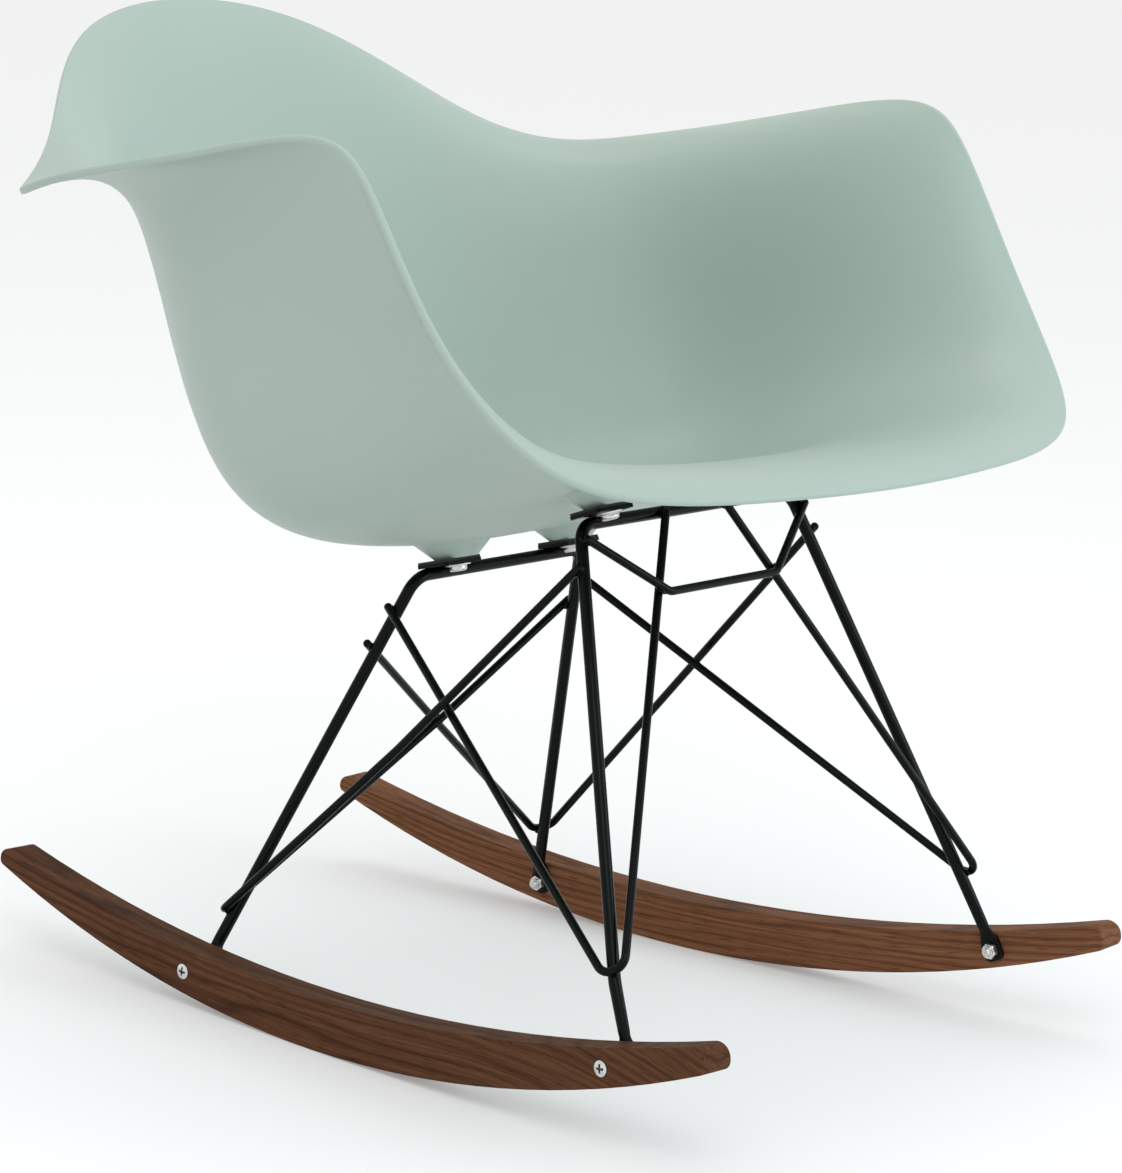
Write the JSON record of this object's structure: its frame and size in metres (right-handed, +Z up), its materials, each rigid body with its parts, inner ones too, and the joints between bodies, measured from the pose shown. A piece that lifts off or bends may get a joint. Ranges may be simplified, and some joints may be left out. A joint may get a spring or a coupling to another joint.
{
  "type": "moulded plastic rocking armchair",
  "caption": "Rocking armchair: a one-piece moulded plastic bucket shell on a welded black wire frame, bolted to curved dark wooden rockers",
  "frame": {"origin": "on the floor, in the chair's middle plane, where the unloaded rockers touch the floor", "axes": "+Z up, the sitter faces -Y, +X to the sitter's left"},
  "size_m": [0.6518, 0.7213, 0.6681],
  "materials": {
    "shell": "satin",
    "wire_frame": "satin",
    "mount_pad": "matte",
    "zinc_fastener": "satin",
    "brass_insert": "satin",
    "rocker_wood": "satin"
  },
  "bodies": {
    "root": {"shell": "shell", "insert_rear_left": "brass_insert", "mount_pad_rear_left": "mount_pad", "mount_plate_rear_left": "wire_frame", "mount_screw_rear_left": "zinc_fastener", "insert_rear_right": "brass_insert", "mount_pad_rear_right": "mount_pad", "mount_plate_rear_right": "wire_frame", "mount_screw_rear_right": "zinc_fastener", "insert_front_left": "brass_insert", "mount_pad_front_left": "mount_pad", "mount_plate_front_left": "wire_frame", "mount_screw_front_left": "zinc_fastener", "insert_front_right": "brass_insert", "mount_pad_front_right": "mount_pad", "mount_plate_front_right": "wire_frame", "mount_screw_front_right": "zinc_fastener", "rear_hoop": "wire_frame", "front_hoop": "wire_frame", "front_brace_left": "wire_frame", "front_brace_right": "wire_frame", "rear_brace_left": "wire_frame", "rear_brace_right": "wire_frame", "front_spreader": "wire_frame", "rocker_left": "rocker_wood", "rocker_right": "rocker_wood", "rocker_bolt_rear_left": "zinc_fastener", "rocker_nut_rear_left": "zinc_fastener", "rocker_bolt_rear_right": "zinc_fastener", "rocker_nut_rear_right": "zinc_fastener", "rocker_bolt_front_left": "zinc_fastener", "rocker_nut_front_left": "zinc_fastener", "rocker_bolt_front_right": "zinc_fastener", "rocker_nut_front_right": "zinc_fastener"}
  },
  "joints": []
}
